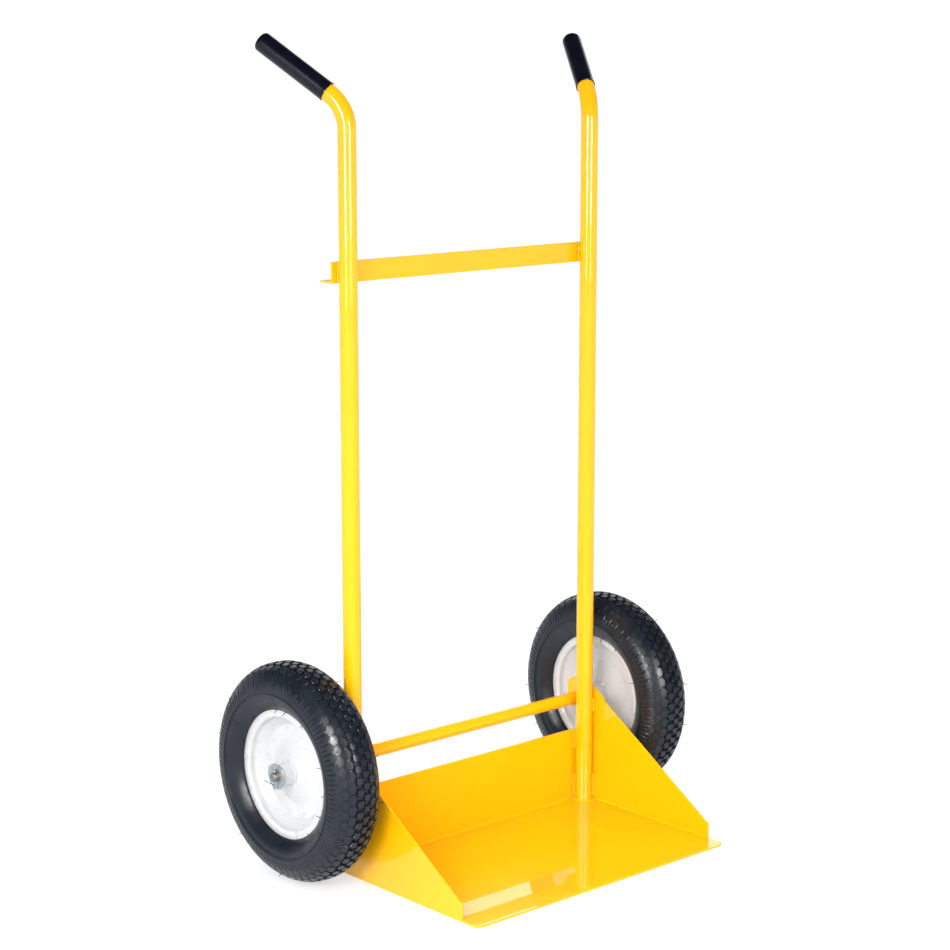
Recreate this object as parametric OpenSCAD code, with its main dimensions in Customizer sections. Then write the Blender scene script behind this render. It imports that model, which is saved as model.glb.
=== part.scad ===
// Hand truck with a scoop-shaped toe plate, two bent-tube uprights and pneumatic wheels.
// Frame: +Z up, +X to the right, the scoop points to -Y and the handles lean to +Y.
// The origin is on the underside of the toe plate, midway between the two uprights.

/* [Uprights] */
// Outside diameter of the upright tubes
tube_d = 33; // [30:0.5:36]
// Wall thickness of the upright tubes
tube_wall = 2; // [1.5:0.5:3]
// Distance between the centre lines of the uprights
tube_span = 586; // [500:1:640]
// Height at which each upright starts to bend
bend_z = 1338; // [1200:1:1400]
// Centre line radius of the handle bend
bend_r = 78; // [70:1:100]
// Angle of each handle from the vertical
lean = 54.5; // [40:0.5:70]
// Outward turn of each handle, seen from above
splay = 31; // [0:1:40]

/* [Grips] */
// Bare tube between the bend and the grip
grip_gap = 2; // [2:1:15]
// Length of a grip
grip_len = 152; // [110:1:160]
// Wall thickness of a grip
grip_wall = 1.5; // [1:0.5:3]

/* [Crossbar] */
// Height of the underside of the crossbar
bar_z = 1074; // [700:1:1150]
// Length of the crossbar
bar_len = 632; // [622:1:640]
// Height of the upright leg of the angle bar
bar_leg_v = 38; // [25:1:50]
// Depth of the level leg of the angle bar
bar_leg_h = 34; // [25:1:50]
// Thickness of the angle bar
bar_t = 4; // [3:0.5:5]

/* [Scoop] */
// Thickness of the toe plate
toe_t = 4; // [3:0.5:5]
// Thickness of the side plates and the back plate
plate_t = 3; // [2:0.5:4]
// Distance from the uprights' centre plane to the front of the side plates
scoop_depth = 318; // [250:1:350]
// Length of toe plate in front of the side plates
toe_lip = 41; // [20:1:60]
// Height of the back plate
back_h = 148; // [120:1:160]
// Height of the side plates at their front edge
side_front_h = 31; // [20:1:40]
// Height of the side plates at the front of the uprights
side_rear_h = 225; // [215:1:228]

/* [Axle] */
// Distance from the uprights' centre plane back to the axle
axle_y = 40; // [39:1:46]
// Gap under the tyres when the truck stands on its toe plate
tyre_gap = 2; // [0:0.5:4]
// Diameter of the axle rod
rod_d = 16; // [16:1:16]
// Outside diameter of the axle tube
axle_tube_d = 25; // [23:1:27]
// Width of an axle lug, which stands upright
lug_h = 61; // [55:1:62]
// Thickness of an axle lug
lug_t = 6; // [5:0.5:7]
// Diameter of the washers
washer_d = 47; // [44:1:50]

/* [Wheels] */
// Outside diameter of the tyre
tyre_d = 400; // [396:1:404]
// Distance between the middles of the two wheels
track = 780; // [776:1:790]
// Length of the hub tube
hub_len = 90; // [88:1:92]
// Outside diameter of the hub tube
hub_d = 40; // [39:0.5:42]

/* [Hidden] */
$fn = 72;

paint = [0.98, 0.78, 0.05];
black = [0.07, 0.07, 0.08];
white = [0.93, 0.94, 0.95];
zinc = [0.72, 0.74, 0.76];
steel = [0.6, 0.6, 0.6];

// Uprights and grips
tube_r = tube_d / 2;
tube_x = tube_span / 2;
grip_r = tube_r + grip_wall;
grip_cap = 4;
grip_round = 7;
bend_end = [0, bend_r * (1 - cos(lean)), bend_z + bend_r * sin(lean)];
// The wall is drawn in by this much in the bend, and the straight lengths lap into it
bend_draw = 0.05;
bend_lap = 0.1;

// Scoop
side_in = tube_x + tube_r;
side_out = side_in + plate_t;
back_in = tube_r;
back_out = back_in + plate_t;
toe_front = scoop_depth + toe_lip;
toe_corner_r = 15;
side_corner_r = 8;
slope = atan((side_rear_h - side_front_h) / (scoop_depth - tube_r));

// Axle: stations along X, measured from the middle
axle_z = tyre_d / 2 + tyre_gap;
rod_r = rod_d / 2;
rod_fit = 0.05;
axle_tube_r = axle_tube_d / 2;
lug_top = 241;
lug_rear = axle_y + 27;
lug_front = -32;
lug_corner_r = 17;
lug_out = side_out + lug_t;
washer_t = 2.5;
washer_gap = 0.3;
hub_in = track / 2 - hub_len / 2;
hub_out = track / 2 + hub_len / 2;
inner_washer_x = hub_in - washer_gap - washer_t;
outer_washer_x = hub_out + washer_gap;
spacer_r = 12.5;
pin_x = outer_washer_x + washer_t + 3.8;
pin_r = 1.6;
pin_hole_r = 1.9;
pin_eye_r = 2.3;
pin_eye_wire = 1.1;
rod_half = pin_x + 3.9;
rod_chamfer = 0.8;

// Bearing: 35 mm outside, 11 mm wide
bearing_r = 17.5;
bearing_w = 11;
bearing_recess = 0.5;
ball_r = 2.4;
groove_r = 2.5;
pitch_r = 12.6;
ring_gap_r = 2;
ball_count = 9;
shield_t = 0.5;
shield_clear = 0.3;
bore_r = 16.2;

// Wheel: radii and offsets from the wheel's middle plane
hub_r = hub_d / 2;
hub_weld = 3.5;
disc_face = 17.6;
rim_t = 2.4;
tyre_r = tyre_d / 2;
section_r = 48;
section_half_flat = 4;
section_mid_r = tyre_r - section_r;
cavity_r = 40;
cavity_half_flat = 3;
tyre_inner_r = 119;
tube_section_r = 37.5;
tube_rubber = 2;
valve_at = [96, 12];
valve_tilt = 45;
valve_r = 5;
valve_hole_r = 5.6;
valve_root = 28;
valve_out = 18;
valve_thread_r = 4;
valve_thread = 8;

// ---- Helpers ----

module on_side(side) {
    if (side < 0) mirror([1, 0, 0]) children();
    else children();
}

// A child drawn about its own Z axis goes on the wheel, with +Z pointing away from the frame
module on_wheel(side) {
    on_side(side)
        translate([track / 2, axle_y, axle_z])
            rotate([0, 90, 0])
                children();
}

// A child drawn about its own Z axis goes on the axle line, with +Z along +X
module on_axle(side, from_x) {
    on_side(side)
        translate([from_x, axle_y, axle_z])
            rotate([0, 90, 0])
                children();
}

module ring(outer_r, inner_r, h) {
    difference() {
        cylinder(r = outer_r, h = h);
        translate([0, 0, -1]) cylinder(r = inner_r, h = h + 2);
    }
}

// A plate drawn as [y, z] stands in the Y-Z plane, from_x to from_x + t
module standing_plate(from_x, t) {
    translate([from_x, 0, 0])
        rotate([90, 0, 90])
            linear_extrude(t)
                children();
}

// ---- Uprights, grips and crossbar ----

module on_upright(side) {
    translate([side * tube_x, 0, 0])
        rotate([0, 0, -side * splay])
            children();
}

// The straight tube, the bend and the handle, drawn about the bend's own centre
module upright(side) {
    inner_r = tube_r - tube_wall;
    handle = grip_gap + grip_len - grip_cap;
    color(paint)
        on_upright(side)
            translate([0, bend_r, bend_z])
                rotate([90, 0, -90]) {
                    translate([bend_r, bend_lap, 0])
                        rotate([90, 0, 0])
                            ring(tube_r, inner_r, bend_z - toe_t + bend_lap);
                    rotate_extrude(angle = lean)
                        translate([bend_r, 0])
                            difference() {
                                circle(tube_r - bend_draw);
                                circle(inner_r + bend_draw);
                            }
                    rotate(lean)
                        translate([bend_r, -bend_lap, 0])
                            rotate([-90, 0, 0])
                                ring(tube_r, inner_r, handle + bend_lap);
                }
}

module grip(side) {
    color(black)
        on_upright(side)
            translate(bend_end)
                rotate([-lean, 0, 0])
                    translate([0, 0, grip_gap])
                        difference() {
                            rotate_extrude() grip_profile();
                            translate([0, 0, -1]) cylinder(r = tube_r, h = grip_len - grip_cap + 1);
                        }
}

module grip_profile() {
    square([grip_r, grip_len - grip_round]);
    square([grip_r - grip_round, grip_len]);
    translate([grip_r - grip_round, grip_len - grip_round])
        intersection() {
            circle(grip_round);
            square(grip_round);
        }
}

module crossbar() {
    color(paint)
        translate([-bar_len / 2, tube_r, bar_z])
            rotate([90, 0, 90])
                linear_extrude(bar_len) {
                    square([bar_leg_h, bar_t]);
                    square([bar_t, bar_leg_v]);
                    translate([bar_t, bar_t]) corner_fillet(bar_t);
                }
}

// A concave fillet in the corner between +X and +Y
module corner_fillet(r) {
    difference() {
        square(r);
        translate([r, r]) circle(r);
    }
}

// ---- Scoop ----

module toe_plate() {
    lip_w = side_out - toe_corner_r;
    color(paint)
        linear_extrude(toe_t) {
            translate([-side_in, -scoop_depth]) square([2 * side_in, scoop_depth + back_in]);
            translate([-side_out, toe_corner_r - toe_front]) square([2 * side_out, toe_lip - toe_corner_r]);
            translate([-lip_w, -toe_front]) square([2 * lip_w, toe_corner_r]);
            for (s = [-1, 1])
                translate([s * lip_w, toe_corner_r - toe_front]) circle(toe_corner_r);
        }
}

module back_plate() {
    color(paint)
        translate([-side_in, back_in, 0])
            cube([2 * side_in, plate_t, back_h]);
}

function slope_z(y) = side_rear_h + (y + tube_r) * tan(slope);

module side_outline() {
    mid_y = side_corner_r - scoop_depth;
    mid_z = slope_z(mid_y) - side_corner_r / cos(slope);
    level_y = (lug_top - side_rear_h) / tan(slope) - tube_r;
    polygon([
        [-scoop_depth, 0],
        [back_out, 0],
        [back_out, lug_top],
        [level_y, lug_top],
        [mid_y - side_corner_r * sin(slope), mid_z + side_corner_r * cos(slope)],
        [mid_y, mid_z],
        [-scoop_depth, mid_z]
    ]);
    translate([mid_y, mid_z]) circle(side_corner_r);
}

module side_plate(side) {
    color(paint)
        on_side(side)
            standing_plate(side_in, plate_t)
                side_outline();
}

// ---- Axle group ----

module lug_outline() {
    intersection() {
        union() {
            translate([lug_front, lug_top - lug_h]) square([lug_rear - lug_corner_r - lug_front, lug_h]);
            translate([lug_front, lug_top - lug_h + lug_corner_r])
                square([lug_rear - lug_front, lug_h - 2 * lug_corner_r]);
            for (z = [lug_top - lug_h + lug_corner_r, lug_top - lug_corner_r])
                translate([lug_rear - lug_corner_r, z]) circle(lug_corner_r);
        }
        polygon([
            [lug_front, 0],
            [lug_rear, 0],
            [lug_rear, slope_z(lug_rear)],
            [lug_front, slope_z(lug_front)]
        ]);
    }
}

module axle_lug(side) {
    color(paint)
        on_side(side)
            standing_plate(side_out, lug_t)
                difference() {
                    lug_outline();
                    translate([axle_y, axle_z]) circle(rod_r + rod_fit);
                }
}

module axle_tube() {
    color(paint)
        translate([-side_out, axle_y, axle_z])
            rotate([0, 90, 0])
                ring(axle_tube_r, axle_tube_r - 2.5, 2 * side_out);
}

module axle_rod() {
    color(steel)
        difference() {
            translate([-rod_half, axle_y, axle_z])
                rotate([0, 90, 0]) {
                    translate([0, 0, rod_chamfer])
                        cylinder(r = rod_r, h = 2 * (rod_half - rod_chamfer));
                    cylinder(r1 = rod_r - rod_chamfer, r2 = rod_r, h = rod_chamfer);
                    translate([0, 0, 2 * rod_half - rod_chamfer])
                        cylinder(r1 = rod_r, r2 = rod_r - rod_chamfer, h = rod_chamfer);
                }
            for (s = [-1, 1])
                translate([s * pin_x, axle_y, axle_z - rod_d])
                    cylinder(r = pin_hole_r, h = 2 * rod_d);
        }
}

module spacers() {
    color(zinc)
        for (s = [-1, 1])
            on_axle(s, lug_out)
                ring(spacer_r, rod_r + rod_fit, inner_washer_x - lug_out);
}

module washers(from_x) {
    color(zinc)
        for (s = [-1, 1])
            on_axle(s, from_x)
                ring(washer_d / 2, rod_r + rod_fit, washer_t);
}

// A round wire from a to b, both given as [x, z] in the pin's plane
module wire(a, b, r) {
    run = b - a;
    translate([a[0], 0, a[1]])
        rotate([0, atan2(run[0], run[1]), 0])
            cylinder(r = r, h = norm(run));
}

// Split pin: an eye on top, a shank through the rod, one leg straight and one bent outwards
module split_pin(side) {
    leg_r = 1.1;
    eye_z = rod_r + 3.6;
    split_z = -rod_r - 4;
    color(zinc)
        on_side(side)
            translate([pin_x, axle_y, axle_z]) {
                translate([0, 0, eye_z])
                    rotate([90, 0, 0])
                        rotate_extrude()
                            translate([pin_eye_r, 0])
                                circle(pin_eye_wire);
                translate([0, 0, split_z - 0.4]) cylinder(r = pin_r, h = rod_r + 1.5 - split_z);
                wire([-0.4, split_z], [-0.4, -27], leg_r);
                wire([0, split_z], [22, -1.2], leg_r);
            }
}

// ---- Welds ----

// A round-faced bead between an upright and a flat plate, drawn for a plate at +Y of the tube
module bead_section() {
    difference() {
        intersection() {
            translate([-9.5, tube_r - 1]) circle(4);
            translate([-tube_r, 0]) square([tube_r, tube_r]);
        }
        circle(tube_r);
    }
}

module upright_welds() {
    color(paint)
        for (s = [-1, 1])
            on_side(s)
                translate([tube_x, 0, 0]) {
                    for (z = [[12, 56], [108, back_h]])
                        translate([0, 0, z[0]]) linear_extrude(z[1] - z[0]) bead_section();
                    for (z = [[12, 56], [184, 214]])
                        translate([0, 0, z[0]])
                            linear_extrude(z[1] - z[0])
                                rotate(-90)
                                    mirror([1, 0]) bead_section();
                }
}

module crossbar_welds() {
    color(paint)
        for (s = [-1, 1])
            on_side(s)
                translate([tube_x, 0, bar_z])
                    linear_extrude(bar_leg_v) {
                        bead_section();
                        mirror([1, 0]) bead_section();
                    }
}

// Fillet strips along the scoop's inner corners, and a ring round the foot of each upright
module scoop_welds() {
    seam = 3;
    foot = 5;
    color(paint)
        difference() {
            intersection() {
                union() {
                    translate([-side_in, back_in, toe_t])
                        rotate([90, 0, 90])
                            linear_extrude(2 * side_in)
                                mirror([1, 0]) corner_fillet(seam);
                    for (s = [-1, 1])
                        on_side(s) {
                            translate([side_in, -scoop_depth, toe_t])
                                rotate([90, 0, 180])
                                    linear_extrude(scoop_depth + back_in)
                                        corner_fillet(seam);
                            translate([tube_x, 0, toe_t])
                                cylinder(r1 = tube_r + foot, r2 = tube_r, h = foot);
                        }
                }
                translate([-side_in, -scoop_depth, toe_t])
                    cube([2 * side_in, scoop_depth + back_in, 2 * foot]);
            }
            for (s = [-1, 1])
                translate([s * tube_x, 0, 0]) cylinder(r = tube_r, h = 10 * foot);
        }
}

module axle_welds() {
    leg = 4;
    color(paint)
        for (s = [-1, 1])
            on_axle(s, side_out - leg)
                difference() {
                    cylinder(r1 = axle_tube_r, r2 = axle_tube_r + leg, h = leg);
                    translate([0, 0, -1]) cylinder(r = axle_tube_r, h = leg + 2);
                }
}

// ---- Bearings ----

// The two bearings of a wheel, each drawn from 0 to bearing_w
module at_bearings() {
    first = hub_len / 2 - bearing_recess - bearing_w;
    for (z = [first, -first - bearing_w])
        translate([0, 0, z]) children();
}

module ball_groove() {
    translate([pitch_r, bearing_w / 2]) circle(groove_r);
}

module bearing_inner_rings() {
    color(steel)
        for (s = [-1, 1])
            on_wheel(s)
                at_bearings()
                    rotate_extrude()
                        difference() {
                            translate([rod_r + rod_fit, 0])
                                square([pitch_r - ring_gap_r - rod_r - rod_fit, bearing_w]);
                            ball_groove();
                        }
}

module bearing_outer_rings(side) {
    color(steel)
        on_wheel(side)
            at_bearings()
                rotate_extrude()
                    difference() {
                        translate([pitch_r + ring_gap_r, 0])
                            square([bearing_r - pitch_r - ring_gap_r, bearing_w]);
                        ball_groove();
                    }
}

module bearing_balls(side) {
    color(steel)
        on_wheel(side)
            at_bearings()
                for (i = [0 : ball_count - 1])
                    rotate([0, 0, i * 360 / ball_count])
                        translate([pitch_r, 0, bearing_w / 2])
                            sphere(ball_r);
}

module bearing_shields(side) {
    color(zinc)
        on_wheel(side)
            at_bearings()
                for (z = [0.3, bearing_w - 0.3 - shield_t])
                    translate([0, 0, z])
                        ring(pitch_r + ring_gap_r, pitch_r - ring_gap_r + shield_clear, shield_t);
}

// ---- Wheels ----

module hub(side) {
    seat = bearing_w + bearing_recess;
    color(white)
        on_wheel(side)
            difference() {
                union() {
                    translate([0, 0, -hub_len / 2]) cylinder(r = hub_r, h = hub_len);
                    for (s = [0, 1])
                        mirror([0, 0, s])
                            translate([0, 0, disc_face])
                                cylinder(r1 = hub_r + hub_weld, r2 = hub_r, h = hub_weld);
                }
                cylinder(r = bore_r, h = 2 * hub_len, center = true);
                for (z = [-hub_len / 2 - 1, hub_len / 2 - seat])
                    translate([0, 0, z]) cylinder(r = bearing_r, h = seat + 1);
            }
}

// One pressed half of the rim, as [radius, offset]: the seen face out to the flange, then the back
module rim_section() {
    polygon([
        [hub_r, disc_face],
        [24, disc_face],
        [30, 15.5],
        [58, 3.6],
        [63, rim_t],
        [86, rim_t],
        [89, 5.5],
        [102, 19.5],
        [102.5, 27.5],
        [106, 31],
        [118.5, 31],
        [118.5, 31 - rim_t],
        [106.5, 31 - rim_t],
        [104.4, 26.5],
        [104.4, 18.5],
        [90.8, 3.8],
        [88, 0],
        [62.6, 0],
        [57.3, 1.3],
        [29, 13.2],
        [23.5, disc_face - rim_t],
        [hub_r, disc_face - rim_t]
    ]);
}

module rim_outer(side) {
    color(white)
        on_wheel(side)
            rotate_extrude() rim_section();
}

module rim_inner(side) {
    color(white)
        on_wheel(side)
            difference() {
                mirror([0, 0, 1]) rotate_extrude() rim_section();
                valve_axis() cylinder(r = valve_hole_r, h = 2 * valve_out, center = true);
            }
}

module section(r, half_flat) {
    for (s = [-1, 1])
        translate([section_mid_r, s * half_flat]) circle(r);
    translate([section_mid_r - r, -half_flat]) square([2 * r, 2 * half_flat]);
}

// Tyre: a fat section, open to the rim, on two bead feet inside the rim flanges
module tyre(side) {
    color(black)
        on_wheel(side) {
            rotate_extrude()
                difference() {
                    section(section_r, section_half_flat);
                    section(cavity_r, cavity_half_flat);
                    translate([0, -tyre_r]) square([tyre_inner_r, 2 * tyre_r]);
                }
            for (s = [0, 1])
                mirror([0, 0, s])
                    rotate_extrude()
                        polygon([
                            [104.5, 19.5],
                            [112, 21.5],
                            [121, 28],
                            [121, 36],
                            [tyre_inner_r, 36],
                            [tyre_inner_r, 28.4],
                            [106.7, 28.4],
                            [104.5, 26.3]
                        ]);
        }
}

// The valve's axis: it leaves the inner rim half towards the frame and the hub
module valve_axis() {
    translate([valve_at[0], 0, -valve_at[1]])
        rotate([0, valve_tilt + 180, 0])
            children();
}

module inner_tube(side) {
    color(black)
        on_wheel(side)
            difference() {
                rotate_extrude() section(tube_section_r, cavity_half_flat - 1);
                rotate_extrude() section(tube_section_r - tube_rubber, cavity_half_flat - 1);
                valve_axis() translate([0, 0, -valve_root]) cylinder(r = valve_r, h = valve_root);
            }
}

module valve_stem(side) {
    color(black)
        on_wheel(side)
            valve_axis() {
                translate([0, 0, -valve_root]) cylinder(r = valve_r, h = valve_root + valve_out - valve_thread);
                translate([0, 0, valve_out - valve_thread])
                    cylinder(r = valve_thread_r, h = valve_thread);
            }
}

module valve_cap(side) {
    color(black)
        on_wheel(side)
            valve_axis()
                translate([0, 0, valve_out - valve_thread + 0.5])
                    difference() {
                        cylinder(r = valve_r, h = valve_thread + 2);
                        translate([0, 0, -1]) cylinder(r = valve_thread_r, h = valve_thread + 0.5);
                    }
}

// ---- Assembly ----

upright(-1);  // left_upright
upright(1);  // right_upright
grip(-1);  // left_grip
grip(1);  // right_grip
crossbar();
toe_plate();
back_plate();
side_plate(-1);  // left_side_plate
side_plate(1);  // right_side_plate
crossbar_welds();
upright_welds();
scoop_welds();
axle_welds();
axle_tube();
axle_lug(-1);  // left_axle_lug
axle_lug(1);  // right_axle_lug
axle_rod();
spacers();
washers(inner_washer_x);  // inner_washers
washers(outer_washer_x);  // outer_washers
split_pin(-1);  // left_split_pin
split_pin(1);  // right_split_pin
bearing_inner_rings();
tyre(-1);  // left_tyre
inner_tube(-1);  // left_inner_tube
rim_outer(-1);  // left_rim_outer
rim_inner(-1);  // left_rim_inner
hub(-1);  // left_hub
bearing_outer_rings(-1);  // left_bearing_outer_rings
bearing_balls(-1);  // left_bearing_balls
bearing_shields(-1);  // left_bearing_shields
valve_stem(-1);  // left_valve_stem
valve_cap(-1);  // left_valve_cap
tyre(1);  // right_tyre
inner_tube(1);  // right_inner_tube
rim_outer(1);  // right_rim_outer
rim_inner(1);  // right_rim_inner
hub(1);  // right_hub
bearing_outer_rings(1);  // right_bearing_outer_rings
bearing_balls(1);  // right_bearing_balls
bearing_shields(1);  // right_bearing_shields
valve_stem(1);  // right_valve_stem
valve_cap(1);  // right_valve_cap
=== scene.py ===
"""Looks of the hand truck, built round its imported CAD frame. Metres, the CAD's own frame."""

import math
import random

import bpy
import numpy as np
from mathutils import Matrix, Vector


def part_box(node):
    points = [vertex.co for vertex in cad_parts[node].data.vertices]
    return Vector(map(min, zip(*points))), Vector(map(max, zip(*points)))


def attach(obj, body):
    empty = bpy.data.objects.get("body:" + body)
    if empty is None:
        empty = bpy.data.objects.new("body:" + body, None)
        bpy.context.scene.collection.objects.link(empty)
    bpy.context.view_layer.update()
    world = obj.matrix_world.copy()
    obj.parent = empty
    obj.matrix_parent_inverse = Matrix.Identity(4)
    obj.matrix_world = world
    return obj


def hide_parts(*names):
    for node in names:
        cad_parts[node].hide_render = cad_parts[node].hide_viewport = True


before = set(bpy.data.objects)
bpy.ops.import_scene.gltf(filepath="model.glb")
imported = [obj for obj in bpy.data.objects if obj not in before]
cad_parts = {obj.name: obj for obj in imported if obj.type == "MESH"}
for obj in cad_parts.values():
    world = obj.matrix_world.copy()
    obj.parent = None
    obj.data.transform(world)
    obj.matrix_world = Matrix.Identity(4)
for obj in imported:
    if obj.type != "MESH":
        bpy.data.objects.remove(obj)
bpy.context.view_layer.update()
MM = 0.001
SIDES = {"left": -1, "right": 1}

# Sizes read from the frame
tyre_lo, tyre_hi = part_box("right_tyre")
WHEEL = (tyre_lo + tyre_hi) / 2
TYRE_R = (tyre_hi.z - tyre_lo.z) / 2
AXLE_Y, AXLE_Z = WHEEL.y, WHEEL.z
UPRIGHT_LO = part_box("right_upright")[0]
BAR_LO, BAR_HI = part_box("crossbar")
BACK_LO, BACK_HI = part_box("back_plate")
SIDE_LO, SIDE_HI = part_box("right_side_plate")
TOE_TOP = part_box("toe_plate")[1].z
TUBE_R = BACK_LO.y
TUBE_X = UPRIGHT_LO.x + TUBE_R


# ---- Materials ----

def shader(name, **values):
    """A new material and its Principled shader, with values set straight on the shader's sockets."""
    mat = bpy.data.materials.new(name)
    mat.use_nodes = True
    bsdf = mat.node_tree.nodes["Principled BSDF"]
    for socket, value in values.items():
        bsdf.inputs[socket.replace("_", " ")].default_value = value
    return mat, bsdf


def noise(mat, scale, detail=3.0, roughness=0.5, stretch=(1, 1, 1)):
    """A noise texture in the object's own coordinates, with its scale in turns per metre."""
    nodes, links = mat.node_tree.nodes, mat.node_tree.links
    coords = nodes.new("ShaderNodeTexCoord")
    mapping = nodes.new("ShaderNodeMapping")
    mapping.inputs["Scale"].default_value = stretch
    texture = nodes.new("ShaderNodeTexNoise")
    texture.inputs["Scale"].default_value = scale
    texture.inputs["Detail"].default_value = detail
    texture.inputs["Roughness"].default_value = roughness
    links.new(coords.outputs["Object"], mapping.inputs["Vector"])
    links.new(mapping.outputs["Vector"], texture.inputs["Vector"])
    return texture.outputs["Fac"]


def ramp(mat, factor, stops):
    """A colour ramp over factor; stops are (place, (r, g, b))."""
    node = mat.node_tree.nodes.new("ShaderNodeValToRGB")
    elements = node.color_ramp.elements
    while len(elements) < len(stops):
        elements.new(0.5)
    for element, (place, colour) in zip(elements, stops):
        element.position = place
        element.color = (*colour, 1)
    mat.node_tree.links.new(factor, node.inputs["Fac"])
    return node.outputs["Color"]


def spread(mat, factor, low, high):
    """Maps factor's middle range to low..high."""
    node = mat.node_tree.nodes.new("ShaderNodeMapRange")
    node.inputs["From Min"].default_value = 0.3
    node.inputs["From Max"].default_value = 0.7
    node.inputs["To Min"].default_value = low
    node.inputs["To Max"].default_value = high
    mat.node_tree.links.new(factor, node.inputs["Value"])
    return node.outputs["Result"]


def bump(mat, bsdf, heights):
    """Chains bumps into the shader's normal; heights are (factor, strength, distance in metres)."""
    nodes, links = mat.node_tree.nodes, mat.node_tree.links
    normal = None
    for height, strength, distance in heights:
        node = nodes.new("ShaderNodeBump")
        node.inputs["Strength"].default_value = strength
        node.inputs["Distance"].default_value = distance
        links.new(height, node.inputs["Height"])
        if normal is not None:
            links.new(normal, node.inputs["Normal"])
        normal = node.outputs["Normal"]
    links.new(normal, bsdf.inputs["Normal"])


def link(mat, output, bsdf, socket):
    mat.node_tree.links.new(output, bsdf.inputs[socket])


def yellow_paint():
    """Glossy powder coat: an even warm yellow with faint clouding and a fine orange peel."""
    mat, bsdf = shader("yellow_paint", Roughness=0.32, Coat_Weight=1.0, Coat_Roughness=0.02,
                       Coat_IOR=1.45, Specular_IOR_Level=0.1)
    cloud = noise(mat, 9, 2)
    link(mat, ramp(mat, cloud, [(0.3, (0.93, 0.455, 0.001)), (0.7, (0.95, 0.475, 0.002))]), bsdf, "Base Color")
    link(mat, spread(mat, noise(mat, 60, 3), 0.28, 0.36), bsdf, "Roughness")
    bump(mat, bsdf, [(noise(mat, 420, 2), 0.002, 0.0002), (noise(mat, 12, 1), 0.002, 0.0006)])
    return mat


def white_paint():
    """Gloss white enamel on the rims, with slight runs and a faint warmth."""
    mat, bsdf = shader("white_paint", Roughness=0.3, Coat_Weight=0.5, Coat_Roughness=0.12)
    cloud = noise(mat, 14, 2)
    link(mat, ramp(mat, cloud, [(0.3, (0.56, 0.56, 0.565)), (0.7, (0.59, 0.59, 0.595))]), bsdf, "Base Color")
    link(mat, spread(mat, noise(mat, 80, 3), 0.26, 0.34), bsdf, "Roughness")
    bump(mat, bsdf, [(noise(mat, 18, 0), 0.02, 0.0006)])
    return mat


def tyre_rubber():
    """Moulded rubber: blue-black, with a dull bloom, fine grain and dust in the low places."""
    mat, bsdf = shader("tyre_rubber", Roughness=0.3, Specular_IOR_Level=0.47)
    bloom = noise(mat, 22, 4, 0.6)
    colours = [(0.25, (0.004, 0.007, 0.012)), (0.6, (0.009, 0.013, 0.020)), (0.85, (0.020, 0.023, 0.028))]
    link(mat, ramp(mat, bloom, colours), bsdf, "Base Color")
    link(mat, spread(mat, noise(mat, 45, 4, 0.6), 0.26, 0.4), bsdf, "Roughness")
    bump(mat, bsdf, [(noise(mat, 900, 3), 0.12, 0.0002), (noise(mat, 130, 2), 0.06, 0.0006)])
    return mat


def tube_rubber():
    """Butyl rubber of the inner tube and the valve stem."""
    mat, bsdf = shader("tube_rubber", Roughness=0.6, Specular_IOR_Level=0.4)
    link(mat, ramp(mat, noise(mat, 70, 3), [(0.3, (0.012, 0.012, 0.013)), (0.7, (0.022, 0.022, 0.023))]),
         bsdf, "Base Color")
    bump(mat, bsdf, [(noise(mat, 800, 2), 0.15, 0.0002)])
    return mat


def grip_vinyl():
    """Dip-moulded vinyl: blue-black and glossy, with long soft flow marks."""
    mat, bsdf = shader("grip_vinyl", Roughness=0.3, Coat_Weight=0.45, Coat_Roughness=0.05,
                       Specular_IOR_Level=0.12)
    link(mat, ramp(mat, noise(mat, 40, 3), [(0.3, (0.001, 0.002, 0.006)), (0.7, (0.003, 0.005, 0.012))]),
         bsdf, "Base Color")
    link(mat, spread(mat, noise(mat, 90, 3), 0.26, 0.34), bsdf, "Roughness")
    bump(mat, bsdf, [(noise(mat, 500, 2), 0.01, 0.0002), (noise(mat, 20, 2), 0.012, 0.0008)])
    return mat


def black_plastic():
    """Hard plastic of the valve caps."""
    mat, bsdf = shader("black_plastic", Roughness=0.4)
    link(mat, ramp(mat, noise(mat, 200, 2), [(0.3, (0.012, 0.012, 0.012)), (0.7, (0.02, 0.02, 0.021))]),
         bsdf, "Base Color")
    bump(mat, bsdf, [(noise(mat, 1500, 2), 0.1, 0.0001)])
    return mat


def zinc_steel():
    """Zinc plate: a cool grey with a cloudy spangle and fine scratches."""
    mat, bsdf = shader("zinc_steel", Metallic=1.0, Roughness=0.3)
    link(mat, ramp(mat, noise(mat, 260, 4, 0.6), [(0.3, (0.42, 0.46, 0.48)), (0.7, (0.56, 0.60, 0.62))]),
         bsdf, "Base Color")
    link(mat, spread(mat, noise(mat, 500, 4, 0.6), 0.22, 0.42), bsdf, "Roughness")
    bump(mat, bsdf, [(noise(mat, 900, 3), 0.1, 0.0001), (noise(mat, 300, 2, 0.5, (1, 1, 14)), 0.06, 0.0001)])
    return mat


def bare_steel():
    """Sawn and turned steel of the axle rod, a warm dull grey with saw lines."""
    mat, bsdf = shader("bare_steel", Metallic=1.0, Roughness=0.42)
    link(mat, ramp(mat, noise(mat, 180, 4), [(0.3, (0.26, 0.25, 0.23)), (0.7, (0.42, 0.41, 0.38))]),
         bsdf, "Base Color")
    link(mat, spread(mat, noise(mat, 300, 3), 0.34, 0.55), bsdf, "Roughness")
    bump(mat, bsdf, [(noise(mat, 500, 2, 0.5, (1, 1, 6)), 0.35, 0.0002)])
    return mat


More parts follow.
